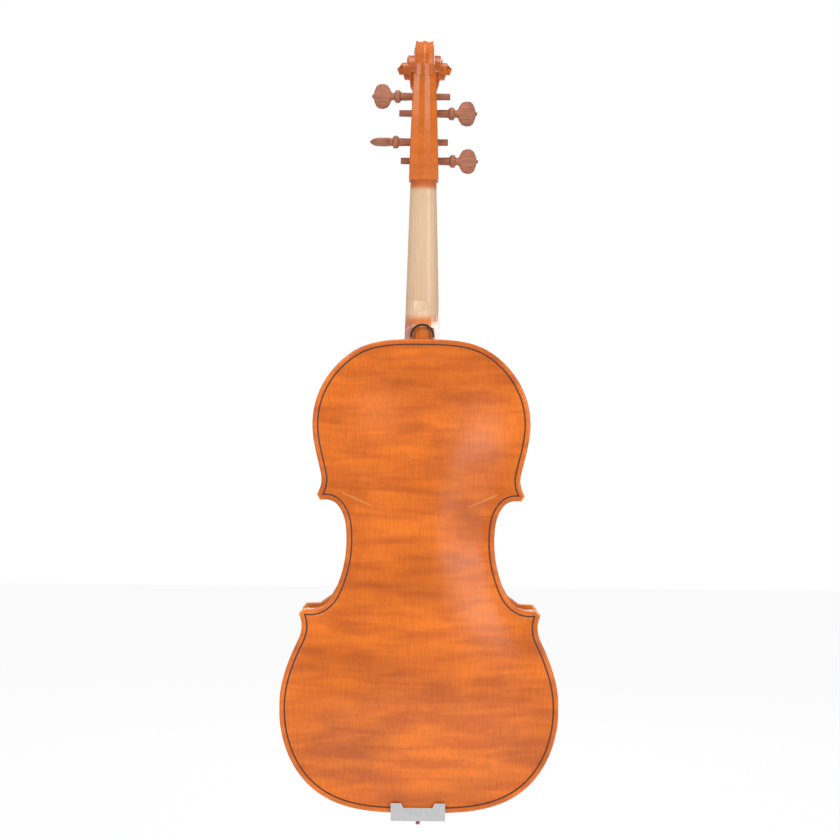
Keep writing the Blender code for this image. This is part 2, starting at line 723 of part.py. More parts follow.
def build_volutes(look):
    """The scroll: a strip that winds in on each side, joined over its fluted outer surface."""
    start = -math.pi / 2 - 0.35
    step = 2 * math.pi / SCROLL_STEPS
    turns = int(round(SCROLL_TURNS * SCROLL_STEPS))
    points, faces = [], []

    def add(p):
        points.append(p)
        return len(points) - 1

    columns = []
    for k in range(SCROLL_STEPS + 1):
        angle = start + k * step
        half = volute_half_width(angle)
        radius = spiral(angle)
        right = [add(polar(angle, radius - d, x)) for x, d in flute(half)]
        left = [add(polar(angle, radius - d, -x)) for x, d in flute(half)[:-1]]
        columns.append(right + left[::-1])
    for one, two in zip(columns, columns[1:]):
        for a, b, c, d in zip(one, one[1:], two[1:], two):
            faces.append((a, b, c, d))
    for side, place in ((1, 0), (-1, -1)):
        edges = [column[place] for column in columns]
        for k in range(SCROLL_STEPS + 1, turns + SCROLL_STEPS + 1):
            angle = start + k * step
            edges.append(add(polar(angle, spiral(angle), side * volute_half_width(angle))))
        rows = []
        for k in range(turns + 1):
            angle = start + k * step
            outer, inner = spiral(angle), spiral(angle + 2 * math.pi)
            half = volute_half_width(angle)
            lip = add(polar(angle, outer - (outer - inner) * 0.22, side * (half + 0.5)))
            foot = add(polar(angle, inner + 0.35, side * (half - VOLUTE_UNDERCUT)))
            rows.append((edges[k], lip, foot, edges[k + SCROLL_STEPS]))
        for one, two in zip(rows, rows[1:]):
            for a, b, c, d in zip(one, one[1:], two[1:], two):
                faces.append((a, b, c, d))
        last = start + turns * step
        middle = add(polar(last, 0.0, side * (volute_half_width(last + 2 * math.pi) + 0.6)))
        ring = [edges[turns + k] for k in range(SCROLL_STEPS + 1)]
        for a, b in zip(ring, ring[1:]):
            faces.append((a, b, middle))
        faces.append((rows[-1][0], rows[-1][1], rows[-1][2], rows[-1][3], middle))
        if side == 1:
            first_right = rows[0]
        else:
            first_left = rows[0]
    throat = list(first_right[1:]) + [columns[-1][k] for k in range(1, len(columns[-1]) - 1)]
    throat += list(first_left[:0:-1]) + columns[0][::-1]
    faces.append(tuple(throat))
    return make("scroll_body", points, faces, look)


def head_ring(z):
    """The pegbox's section at one height, before it is hollowed."""
    half, front, back = head_half_width(z), head_front(z), head_back(z)
    right = [(half, front)] + [(x, back + d) for x, d in flute(half)]
    return [(x, y, z) for x, y in right] + [(-x, y, z) for x, y in right[-2::-1]]


def build_neck(look):
    """Neck and head in one piece of maple: heel, shaft, hollow pegbox with its peg holes, and scroll."""
    nut_end = NUT_AT + NUT_LENGTH
    heights = [CHIN_AT + 1, nut_end, *np.linspace(nut_end + GAP, SCROLL_EYE_AT - 9, 8)]
    head = make("pegbox_body", *skin([head_ring(z) for z in heights]), look)
    shaft = build_neck_shaft(look)
    boolean(shaft, head, "UNION")
    boolean(shaft, build_volutes(look), "UNION")
    boolean(shaft, pegbox_cutter())
    for name, side, z in PEGS:
        centre = peg_y(z)
        hole = PEG_SHAFT_DIAMETER / 2 + PEG_CLEARANCE
        boolean(shaft, rod(f"peg_hole_{name}", hole, (-30, centre, z), (30, centre, z), 16))
    return shaft


def pegbox_cutter():
    """The hollow of the pegbox, open to the front."""
    rings = []
    for z in np.linspace(NUT_AT + NUT_LENGTH + 2, THROAT_AT - 4, 6):
        half = head_half_width(z) - PEGBOX_WALL
        floor = head_back(z) + PEGBOX_FLOOR
        rings.append([(half, 70, z), (half, floor, z), (-half, floor, z), (-half, 70, z)])
    return make("pegbox_hollow", *skin(rings), GUIDE())


def peg_y(z):
    """The depth of a peg's axis, midway between the pegbox's floor and its front."""
    return head_back(z) + PEGBOX_FLOOR + 0.5 * (head_front(z) - head_back(z) - PEGBOX_FLOOR)


def neck_root_cutter():
    """The mortise for the neck's root in the top block, the ribs and the belly's edge."""
    rings = []
    for z in (NECK_ROOT_AT - GAP, BODY_LENGTH + 6):
        section = neck_section(NECK_ROOT_AT)
        half = [(x + GAP, y) for x, y in section[:-1]]
        half[0] = (half[0][0], 70)
        half.append((half[-1][0] * 0.5, EDGE_THICKNESS + 0.02))
        rings.append([(x, y, z) for x, y in half] + [(-x, y, z) for x, y in half[::-1]])
    return make("neck_mortise", *skin(rings), GUIDE())


# Fittings

def build_fingerboard(look):
    """The long black board, crowned on top and hollowed beyond the neck."""
    rings = []
    for k in range(7):
        z = NUT_AT - GAP - FINGERBOARD_LENGTH * k / 6
        half = neck_half_width(z) + 0.0
        flat = neck_top(z) + GAP
        crown = FINGERBOARD_THICKNESS - 4.5
        hollow = 0.0 if z > BODY_LENGTH - 8 else 3.2
        side = [(half, flat + 4.2), (half * 0.5, flat + 4.2 + crown * 0.75), (0, flat + 4.2 + crown)]
        under = [(-half + 2.5, flat + 0.1), (0, flat + 0.1 + hollow), (half - 2.5, flat + 0.1)]
        ring = [(half, flat)] + side + [(-x, y) for x, y in side[-2::-1]] + [(-half, flat)] + under
        rings.append([(x, y, z) for x, y in ring])
    return make("fingerboard", *skin(rings), look)


def fingerboard_top(x, z):
    """The y of the fingerboard's crowned face."""
    return FINGERBOARD_NUT_Y + (NUT_AT - z) * FINGERBOARD_SLOPE - 4.6 * (x / neck_half_width(z)) ** 2


def string_x(index, z):
    """Distance of a string from the middle at a height; index 0 is the lowest, on the bass side."""
    place = 1 - 2 * index / 3
    share = (NUT_AT - z) / (NUT_AT - BRIDGE_AT)
    return place * (NUT_STRING_SPREAD + (BRIDGE_STRING_SPREAD - NUT_STRING_SPREAD) * share) / 2


def string_at_nut(index):
    """Where a string rests on the nut."""
    x = string_x(index, NUT_AT)
    return Vector((x, fingerboard_top(x, NUT_AT) + NUT_HEIGHT, NUT_AT + 2))


def string_at_bridge(index):
    """Where a string rests on the bridge."""
    x = string_x(index, BRIDGE_AT)
    return Vector((x, bridge_top(x), BRIDGE_AT))


def bridge_top(x):
    """The y of the bridge's curved crown."""
    return BRIDGE_TOP_Y - x * x / (2 * BRIDGE_CROWN_RADIUS) + 0.02 * x


def build_nut(look):
    """The small block that spaces the strings, between the fingerboard and the pegbox."""
    low, high = NUT_AT, NUT_AT + NUT_LENGTH - GAP
    rings = []
    for z, drop in ((low, 0.0), (low + 1.6, 0.0), (high, NUT_FALL)):
        half = NECK_NUT_WIDTH / 2
        base = neck_top(NUT_AT) + GAP
        edge = fingerboard_top(half, NUT_AT) + NUT_HEIGHT - 0.8 - drop
        mid = FINGERBOARD_NUT_Y + NUT_HEIGHT - 0.8 - drop
        ring = [(half, base), (half, edge), (half * 0.5, edge + (mid - edge) * 0.75), (0, mid)]
        ring += [(-x, y) for x, y in ring[-2::-1]]
        rings.append([(x, y, z) for x, y in ring])
    return make("nut", *skin(rings), look)


def peg_profile():
    """Radius against distance from the pegbox's outer wall: collar, neck and start of the thumb piece."""
    r = PEG_SHAFT_DIAMETER / 2
    collar = PEG_COLLAR_DIAMETER / 2
    return ((-33.0, r - 0.5), (1.5, r), (9.9, r + 0.25), (10.4, collar * 0.8), (11.6, collar),
            (14.2, collar), (15.3, collar * 0.8), (15.7, r), (17.0, r * 0.98), (18.3, r * 1.1))


PEG_THUMB = ((19.6, 6.8, 3.7), (21.8, 9.8, 3.6), (25.2, 11.0, 3.4), (28.8, 10.8, 3.2),
             (31.6, 8.8, 2.9), (33.3, 4.6, 2.4), (33.9, 1.9, 1.7), (35.3, 1.3, 1.3))  # distance, half width, half depth


def build_peg(name, side, z, turned, look):
    """A tuning peg: tapered shaft, turned collar and a flat heart-shaped thumb piece."""
    wall = head_half_width(z)
    y = peg_y(z)
    sides = 12
    rings = [[(side * (wall + d), y + r * math.cos(a), z + r * math.sin(a))
              for a in (2 * math.pi * k / sides for k in range(sides))] for d, r in peg_profile()]
    for d, wide, thick in PEG_THUMB:
        ring = []
        for k in range(sides):
            a = 2 * math.pi * k / sides + turned
            u, v = wide * math.cos(a - turned), thick * math.sin(a - turned)
            ring.append((side * (wall + d), y + u * math.cos(turned) - v * math.sin(turned),
                         z + u * math.sin(turned) + v * math.cos(turned)))
        shift = int(round(turned / (2 * math.pi / sides)))
        rings.append(ring[-shift:] + ring[:-shift] if shift else ring)
    return make(f"peg_{name}", *skin(rings), look, pivot=(side * wall, y, z))


def tube(name, points, diameter, look, sides=6, pivot=(0.0, 0.0, 0.0)):
    """A round wire along a row of points."""
    points = [Vector(p) for p in points]
    ahead = [(points[min(k + 1, len(points) - 1)] - points[max(k - 1, 0)]).normalized() for k in range(len(points))]
    across = ahead[0].orthogonal().normalized()
    rings = []
    for p, d in zip(points, ahead):
        across = (across - d * across.dot(d)).normalized()
        other = d.cross(across)
        ring = []
        for k in range(sides):
            a = 2 * math.pi * k / sides
            ring.append(tuple(p + (across * math.cos(a) + other * math.sin(a)) * diameter / 2))
        rings.append(ring)
    return make(name, *skin(rings), look, pivot=pivot)


def build_strings(look):
    """Four strings from the tailpiece over bridge and nut to their pegs, and the turns wound on each peg."""
    order = {"c": 0, "g": 1, "d": 2, "a": 3}
    for name, side, z in PEGS:
        index = order[name]
        thick = STRING_DIAMETERS[index]
        lift = Vector((0, thick / 2 + GAP, 0))
        y = peg_y(z)
        radius = PEG_SHAFT_DIAMETER / 2 + thick / 2 + GAP
        start = string_at_nut(index) + lift
        x = max(-6.0, min(6.0, start.x * 0.8))
        leave = Vector((x, y + radius, z - 0.4))
        x1 = string_x(index, BRIDGE_AT) * TAIL_STRING_SPREAD / BRIDGE_STRING_SPREAD
        tail = Vector((x1, TAILPIECE_HEAD_Y + 2.6 + thick / 2, TAILPIECE_HEAD_AT + 1.0))
        tube(f"string_{name}", [tail, string_at_bridge(index) + lift * 1.6, start, leave], thick, look)
        turns, per_turn = WOUND_TURNS, 16
        pitch = (thick + 0.5) * (1 if x < 0 else -1)
        wound = []
        for k in range(int(turns * per_turn) + 1):
            a = 2 * math.pi * k / per_turn + 0.45
            wound.append((x + pitch * (1 + k / per_turn), y + radius * math.cos(a), z + radius * math.sin(a)))
        gap = min(math.dist(wound[k], wound[k + per_turn]) for k in range(len(wound) - per_turn)) - thick
        print(f"winding_{name}: least gap to itself {gap:.2f} mm")
        tube(f"winding_{name}", wound, thick, look, pivot=(side * head_half_width(z), y, z))


def build_bridge(belly, look):
    """The bridge: two feet on the belly, a waist with a heart and two kidneys, and a thin curved crown."""
    tree = surface(belly)
    thick = BRIDGE_FOOT_THICKNESS
    half = BRIDGE_FOOT_SPAN / 2

    def foot(x):
        return max(height_on(tree, x, BRIDGE_AT + s * thick / 2, 90, -1) for s in (-1, 0, 1)) + GAP

    top = [(x, bridge_top(x)) for x in (24, 16, 8, 0, -8, -16, -24)]
    right = [(24.5, bridge_top(24) - 5), (19, 79), (20.5, 75), (half - 2, 70), (half, foot(half) + 3), (half, foot(half)),
             (half - 6, foot(half - 6)), (half - 12, foot(half - 12)), (half - 12.5, foot(half - 12) + 3.4), (9, 69.5), (4, 71.5)]
    left = [(-x, y) for x, y in right[:4]]
    left += [(-half, foot(-half) + 3), (-half, foot(-half)), (-half + 6, foot(-half + 6)), (-half + 12, foot(-half + 12)),
             (-half + 12.5, foot(-half + 12) + 3.4), (-9, 69.5), (-4, 71.5)]
    outline = right[::-1] + top + left
    front = [(x, y, BRIDGE_AT - thick / 2) for x, y in outline]
    back = [(x, y, BRIDGE_AT + thick / 2 - (thick - BRIDGE_TOP_THICKNESS) * max(0.0, y - 66) / 30) for x, y in outline]
    made = make("bridge", *skin([front, back]), look, smooth=0)
    for k, (x, y, r) in enumerate(((0, 80.5, 4.0), (15.5, 83.5, 3.2), (-15.5, 83.5, 3.2))):
        boolean(made, rod(f"bridge_cut_{k}", r, (x, y, BRIDGE_AT - 8), (x, y, BRIDGE_AT + 8), 12))
    return made


def build_tail(look, wire, fret_look):
    """Tailpiece, its fret, the tail gut, the end button and the saddle."""
    foot_z = TAILPIECE_HEAD_AT - TAILPIECE_LENGTH
    rings = []
    for k in range(6):
        share = k / 5
        z = TAILPIECE_HEAD_AT - TAILPIECE_LENGTH * share
        half = TAILPIECE_HEAD_WIDTH / 2 + (TAILPIECE_FOOT_WIDTH - TAILPIECE_HEAD_WIDTH) / 2 * share ** 0.8
        y = TAILPIECE_HEAD_Y + (TAILPIECE_FOOT_Y - TAILPIECE_HEAD_Y) * share
        low = [(half * 0.8, y - 4.5), (0, y - 3.0), (-half * 0.8, y - 4.5)]
        ring = [(half, y - 2.0), (half * 0.6, y + 1.2), (0, y + 2.2), (-half * 0.6, y + 1.2), (-half, y - 2.0)] + low[::-1]
        rings.append([(x, yy, z) for x, yy in ring])
    make("tailpiece", *skin(rings), look)
    gut_y = TAILPIECE_FOOT_Y - 5.6
    saddle_top = BELLY_PLANE + EDGE_THICKNESS + SADDLE_HEIGHT
    for name, side in (("bass", 1), ("treble", -1)):
        tube(f"tailgut_{name}", [(side * 5.5, gut_y, foot_z + 9), (side * 5.5, saddle_top + 1.4, 5.0), (side * 5.5, saddle_top + 1.2, -1.4),
                                 (side * 5.5, saddle_top - 3, -2.4), (side * 5.3, TAIL_BUTTON_Y + 2, -2.4)], 1.6, wire, 8)
    make("saddle", *prism_box((-17, BELLY_PLANE + EDGE_THICKNESS + GAP, -0.9), (17, saddle_top, 6.0)), look)
    pin = BUTTON_PIN_DIAMETER / 2
    steps = ((16.0, pin - 0.3), (OVERHANG - GAP, pin), (OVERHANG - GAP - 0.1, 5.2), (-1.0, 5.2), (-3.6, 3.9), (-6.2, 5.3), (-8.6, 5.7),
             (-10.6, 5.4), (-12.2, 3.6), (-12.6, 1.8), (-14.6, 1.9), (-15.6, 0.9))
    rings = [[(r * math.cos(a), TAIL_BUTTON_Y + r * math.sin(a), z) for a in (2 * math.pi * k / 20 for k in range(20))] for z, r in steps]
    make("end_button", *skin(rings), look)


def prism_box(low, high):
    """A box between two corners."""
    return prism([(low[0], low[2]), (high[0], low[2]), (high[0], high[2]), (low[0], high[2])], low[1], high[1])


def build_crown(look):
    """The ebony horseshoe let in round the button."""
    inner, outer = BUTTON_RADIUS + GAP, BUTTON_RADIUS + CROWN_THICKNESS
    angles = [math.radians(-8 + 196 * k / 16) for k in range(17)]
    rim = [(outer * math.cos(a), BUTTON_AT + outer * math.sin(a)) for a in angles]
    hole = [(inner * math.cos(a), BUTTON_AT + inner * math.sin(a)) for a in angles]
    points, faces = prism_strip(rim + hole[::-1], 0.4, EDGE_THICKNESS)
    return make("button_crown", points, faces, look)


def button_tab():
    """The round tab at the top of the back plate, to which the heel is glued."""
    angles = [math.pi * k / 16 for k in range(17)]
    outline = [(BUTTON_RADIUS * math.cos(a), BUTTON_AT + BUTTON_RADIUS * math.sin(a)) for a in angles]
    outline += [(-BUTTON_RADIUS, BODY_LENGTH - 3), (BUTTON_RADIUS, BODY_LENGTH - 3)]
    return make("button_tab", *prism(outline, 0.5, EDGE_THICKNESS), GUIDE())


def f_hole_cutter(side):
    """One sound hole: two round eyes joined by a leaning, curved slot."""
    line = through([
        (F_TOP_X, F_TOP_AT, 75),
        (F_TOP_X + 7.5, F_TOP_AT + 6.5, 0),
        (F_TOP_X + 13, F_TOP_AT - 4, 275),
        (F_BOTTOM_X - 12, F_BOTTOM_AT + 4, 275),
        (F_BOTTOM_X - 6, F_BOTTOM_AT - 6.5, 0),
        (F_BOTTOM_X, F_BOTTOM_AT, 75),
    ], 5)
    right, left = inset(line, F_SLOT / 2, False, False), inset(line, -F_SLOT / 2, False, False)
    outline = [(side * x, z) for x, z in np.vstack([right, left[::-1]])]
    return make("f_slot", *prism_strip(outline, BELLY_PLANE - 2, BELLY_PLANE + 25), GUIDE())


def cut_f_holes(belly):
    """The two sound holes and the notches at their middle."""
    for _, side in SIDES:
        boolean(belly, f_hole_cutter(side))
        for x, z, r in ((F_TOP_X, F_TOP_AT, F_TOP_EYE / 2), (F_BOTTOM_X, F_BOTTOM_AT, F_BOTTOM_EYE / 2)):
            boolean(belly, rod("f_eye", r, (side * x, BELLY_PLANE - 2, z), (side * x, BELLY_PLANE + 25, z), 14))


def build_chin_rest(look, steel):
    """A centre-mounted chin rest over the tailpiece, with its two-screw clamp."""
    low = REST_PLATE_Y
    spans = (
        (-3.0, -26, 26, 0), (6, -27, 42, 0.5), (22, -28, 62, 0), (42, -24, 76, -2.0),
        (62, -6, 80, -2.4), (78, 16, 72, -1.6), (88, 34, 58, 0),
    )
    rings = []
    for z, x0, x1, dip in spans:
        ring = []
        for share, up in ((0, 0), (0.25, -0.4), (0.5, -1), (0.75, -0.8), (1, 0.9)):
            ring.append((x0 + (x1 - x0) * share, low + REST_PLATE_THICKNESS - up * dip, z))
        under = [(x, y - REST_PLATE_THICKNESS, zz) for x, y, zz in ring[::-1]]
        rings.append(ring + under)
    make("chin_rest", *skin(rings), look)
    top = low - GAP
    foot_y = -1.6
    middle = (EDGE_THICKNESS + BELLY_PLANE) / 2
    for name, side in SIDES:
        x = side * REST_CLAMP_X
        rings = []
        for y, r in ((middle - 13, 1.6), (middle - 12, 2.8), (middle + 12, 2.8), (middle + 13, 1.6)):
            rings.append([(x + r * math.cos(a), y, REST_CLAMP_AT + r * math.sin(a)) for a in (2 * math.pi * k / 12 for k in range(12))])
        barrel = make(f"chinrest_barrel_{name}", *skin(rings), steel, pivot=(x, middle, REST_CLAMP_AT))
        for end, a, b in (("upper", middle + 4, middle + 14), ("lower", middle - 14, middle - 4)):
            boolean(barrel, rod(f"thread_{end}_{name}", REST_SCREW_DIAMETER / 2 + GAP, (x, a, REST_CLAMP_AT), (x, b, REST_CLAMP_AT), 10))
        rod(f"chinrest_stud_{name}", REST_SCREW_DIAMETER / 2, (x, middle + 6, REST_CLAMP_AT), (x, top, REST_CLAMP_AT), 10, steel)
    foot = make("chinrest_foot", *prism([(-REST_CLAMP_X - 3, REST_CLAMP_AT - 2.2), (REST_CLAMP_X + 3, REST_CLAMP_AT - 2.2), (REST_CLAMP_X + 3, REST_FOOT_REACH - 6),
                (REST_CLAMP_X + 3, REST_FOOT_REACH), (REST_CLAMP_X - 6, REST_FOOT_REACH), (REST_CLAMP_X - 8, 5.6), (-REST_CLAMP_X + 8, 5.6), (-REST_CLAMP_X + 6, REST_FOOT_REACH),
                (-REST_CLAMP_X - 3, REST_FOOT_REACH), (-REST_CLAMP_X - 3, REST_FOOT_REACH - 6)], foot_y - 1.6, -GAP), steel)
    for name, side in SIDES:
        x = side * REST_CLAMP_X
        boolean(foot, rod(f"foot_screw_{name}", REST_SCREW_DIAMETER / 2, (x, foot_y - 0.6, REST_CLAMP_AT), (x, middle - 6, REST_CLAMP_AT), 10), "UNION")


def build():
    """The whole viola."""
    for old in list(bpy.data.objects):
        bpy.data.objects.remove(old)
    maple = material("maple", (0.66, 0.24, 0.05), 0.3)
    spruce = material("spruce", (0.72, 0.36, 0.10), 0.32)
    bare = material("bare_maple", (0.76, 0.56, 0.36), 0.5)
    inner = material("willow", (0.80, 0.66, 0.46), 0.7)
    ebony = material("ebony", (0.02, 0.017, 0.015), 0.35)
    rosewood = material("rosewood", (0.33, 0.12, 0.08), 0.45)
    dark = material("purfling", (0.05, 0.03, 0.02), 0.5)
    wire = material("string", (0.62, 0.62, 0.60), 0.3, 1.0)
    steel = material("chrome", (0.80, 0.80, 0.82), 0.12, 1.0)
    back = plate("back_plate", EDGE_THICKNESS, -1, BACK_ARCH, BACK_CENTRE_THICKNESS, maple)
    belly = plate("belly_plate", BELLY_PLANE, 1, BELLY_ARCH, BELLY_CENTRE_THICKNESS, spruce)
    build_sound_post(back, belly, inner)
    build_bass_bar(belly, inner)
    build_bridge(belly, bare)
    boolean(back, button_tab(), "UNION")
    boolean(belly, neck_root_cutter())
    cut_f_holes(belly)
    boolean(belly, prism_guide("saddle_notch", (-17 - GAP, BELLY_PLANE + EDGE_THICKNESS - 0.4, -5), (17 + GAP, 60, 6 + GAP)))
    purfling("purfling_back", EDGE_THICKNESS, -1, dark)
    strip = purfling("purfling_belly", BELLY_PLANE, 1, dark)
    boolean(strip, prism_guide("neck_gap", (-NECK_ROOT_WIDTH / 2 - 2 * GAP, BELLY_PLANE, BODY_LENGTH - 12), (NECK_ROOT_WIDTH / 2 + 2 * GAP, 70, BODY_LENGTH + 5)))
    build_ribs(maple)
    build_linings(inner)
    build_blocks(inner)
    build_crown(ebony)
    build_neck(bare)
    build_fingerboard(ebony)
    build_nut(ebony)
    for (name, side, z), turned in zip(PEGS, PEG_TURNS):
        build_peg(name, side, z, math.radians(turned), rosewood)
    build_strings(wire)
    build_tail(ebony, dark, bare)
    build_chin_rest(ebony, steel)


def prism_guide(name, low, high):
    """A box-shaped guide for cutting."""
    return make(name, *prism_box(low, high), GUIDE())


build()
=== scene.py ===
"""The looks of the viola: varnished maple, bare neck, rosewood pegs and chrome clamp, on a white ground."""

import math

import bmesh
import bpy
import numpy as np
from mathutils import Matrix, Vector


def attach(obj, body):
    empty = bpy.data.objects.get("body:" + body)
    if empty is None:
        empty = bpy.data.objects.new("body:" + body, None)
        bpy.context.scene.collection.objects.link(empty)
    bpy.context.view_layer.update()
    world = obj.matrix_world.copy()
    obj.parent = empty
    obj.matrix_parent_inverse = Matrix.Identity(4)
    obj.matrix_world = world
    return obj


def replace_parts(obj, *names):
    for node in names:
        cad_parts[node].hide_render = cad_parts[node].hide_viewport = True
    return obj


MM = 0.001
BLACK = (0, 0, 0)
WHITE = (1, 1, 1)

# The photograph's view, in metres and degrees
CAMERA_DISTANCE = 1.324  # in front of the frame's origin
CAMERA_X = -0.0013
CAMERA_Z = -0.209
CAMERA_ROLL = 0.535
CAMERA_LENS = 64.48  # millimetres
CAMERA_SENSOR = 36  # millimetres

# The ground, its surround and the lamps, in metres and watts
FLOOR_SIZE = 6
FLOOR_AT = (0, 1.0, -0.80)
FLOOR_GLOW = 0.93  # share of plain white in what the camera sees of the floor
SURROUND_LIGHT = 0.42  # what the white surround gives to the object
SURROUND_SEEN = 1.0  # what the camera sees of it
LAMP_AIM = (0, 0, -0.2)
LAMPS = (
    ("key", (-0.9, -1.5, 0.9), 0.8, 16),
    ("fill", (1.1, -1.4, 0.1), 1.0, 10),
    ("top", (0.0, -0.2, 1.3), 0.9, 8),
    ("behind", (0.2, 1.5, 0.5), 1.2, 14),
)  # name, place, width and power

# Where the neck is bare: a height range of the frame, and shares of it at the ends of the varnish
NECK_RANGE = (-0.16, 0.04)
HEEL_VARNISH_ENDS = 0.19
BARE_FROM = 0.225
BARE_TO = 0.772
HEAD_VARNISH_STARTS = 0.79

# The body's sizes, as the solids have them, in millimetres from the lower edge of the back
FRAME_ORIGIN = Vector((0.0, 24.0, 549.0))
BODY_LENGTH = 410.0
UPPER_WIDTH = 188.8
UPPER_WIDEST_AT = 336.5
UPPER_CORNER_WIDTH = 180.0
UPPER_CORNER_AT = 275.0
WAIST_WIDTH = 128.0
WAIST_AT = 235.0
LOWER_CORNER_WIDTH = 209.4
LOWER_CORNER_AT = 171.6
LOWER_WIDTH = 242.0
LOWER_WIDEST_AT = 91.0
HALF_WIDTH_LIMIT = 120.6  # just within the solids, whose outline runs in straight steps
EDGE_THICKNESS = 4.0
RIB_HEIGHT = 38.0
RIB_THICKNESS = 1.2
BELLY_PLANE = EDGE_THICKNESS + RIB_HEIGHT
OVERHANG = 2.8
BACK_ARCH = 15.5
BACK_CENTRE_THICKNESS = 4.6
PLATE_FLAT = 8.0  # glued margin inside the edge
CHANNEL_DEPTH = 0.9
CHANNEL_INSET = 9.5
PURFLING_INSET = 4.0
PURFLING_WIDTH = 1.3
PURFLING_OUTER_Y = 0.35
PURFLING_INNER_Y = 0.61
PURFLING_FLOOR_Y = 1.35

# The arch: its ridge, and its half widths at some heights
ARCH_MIDDLE_AT = 200
RIDGE_SHARE = 0.6  # length of the ridge, as a share of the plate's
ARCH_WIDTHS = (
    (0, 60), (40, 96), (91, 113), (140, 99), (185, 70), (235, 55),
    (275, 64), (310, 81), (340, 86), (375, 74), (410, 45),
)
ARCH_SMOOTHING = (-12, -6, 0, 6, 12)
LOWER_END_RISE = 100
UPPER_END_RISE = 95
BOW = 0.32  # how much lower the arch is at its ends
SWELL_POWER = 0.86  # fuller than a plain cosine
RIDGE_REACH = 1.06  # the arch is full a little before its middle

# The back's rounded edge, from the channel to the glued margin: distance inside the edge, and y
EDGE_PROFILE = (
    (7.0, 0.86), (5.3, 0.66), (4.0, 0.40), (2.8, 0.12), (2.0, 0.0),
    (1.3, 0.07), (0.7, 0.35), (0.25, 0.8), (0.0, 1.5), (0.0, 2.5),
    (0.25, 3.2), (0.7, 3.65), (1.3, 3.93), (2.0, 4.0), (PLATE_FLAT, 4.0),
)

# How finely the smooth pieces are drawn
UPPER_FACES = 54
WAIST_FACES = 44
LOWER_FACES = 64
OUTER_RINGS = 26
INNER_RINGS = 12
FIRST_INNER_SHARE = 0.08  # of the way from the glued margin to the ridge
CORNER_RUN = 30  # millimetres added to a moved curve, so that it meets its neighbour
MERGE_DISTANCE = 1e-6  # metres
SMOOTH_ANGLE = 35


def nodes_of(name):
    """A new node material and a function that adds nodes to it."""
    made = bpy.data.materials.new(name)
    made.use_nodes = True
    tree = made.node_tree
    shader = tree.nodes["Principled BSDF"]

    def add(kind, inputs=None, **settings):
        node = tree.nodes.new(kind)
        for key, value in settings.items():
            setattr(node, key, value)
        for key, value in (inputs or {}).items():
            if isinstance(value, bpy.types.NodeSocket):
                tree.links.new(value, node.inputs[key])
            else:
                node.inputs[key].default_value = value
        return node

    return made, shader, add


def link(made, source, target):
    """A link between two sockets of a material."""
    made.node_tree.links.new(source, target)


def noise(add, scale, shift=(0, 0, 0), **more):
    """Noise over the object's own coordinates, from 0 to 1."""
    at = add("ShaderNodeTexCoord").outputs["Object"]
    at = add("ShaderNodeMapping", {"Vector": at, "Scale": scale, "Location": shift}).outputs["Vector"]
    return add("ShaderNodeTexNoise", {"Vector": at, "Scale": 1.0, **more}).outputs["Fac"]


def ramp(add, factor, stops):
    """A colour ramp from place and colour pairs."""
    node = add("ShaderNodeValToRGB", {"Fac": factor})
    keys = node.color_ramp.elements
    while len(keys) < len(stops):
        keys.new(0.5)
    for key, (at, colour) in zip(keys, stops):
        key.position = at
        key.color = (*colour, 1.0)
    return node.outputs["Color"]


def mix(add, factor, one, two, blend="MIX"):
    """Two colours mixed."""
    node = add("ShaderNodeMix", data_type="RGBA", blend_type=blend)
    for index, value in ((0, factor), (6, one), (7, two)):
        if isinstance(value, bpy.types.NodeSocket):
            node.id_data.links.new(value, node.inputs[index])
        else:
            node.inputs[index].default_value = value if index == 0 else (*value, 1.0)
    return node.outputs[2]


def spread(add, factor, low, high, **more):
    """A value stretched to run from low to high."""
    inputs = {"Value": factor, "To Min": low, "To Max": high, **more}
    return add("ShaderNodeMapRange", inputs).outputs["Result"]


def bare_of_varnish(add, varnished, fine):
    """The colour of the neck: bare maple between the varnished heel and the varnished head."""
    height = add("ShaderNodeSeparateXYZ", {"Vector": add("ShaderNodeNewGeometry").outputs["Position"]})
    ends = {"From Min": NECK_RANGE[0], "From Max": NECK_RANGE[1]}
    share = spread(add, height.outputs["Z"], 0.0, 1.0, **ends)
    shaft = ramp(add, share, [
        (HEEL_VARNISH_ENDS, BLACK), (BARE_FROM, WHITE), (BARE_TO, WHITE), (HEAD_VARNISH_STARTS, BLACK),
    ])
    return mix(add, shaft, varnished, mix(add, fine, (0.62, 0.40, 0.24), (0.84, 0.60, 0.40)))


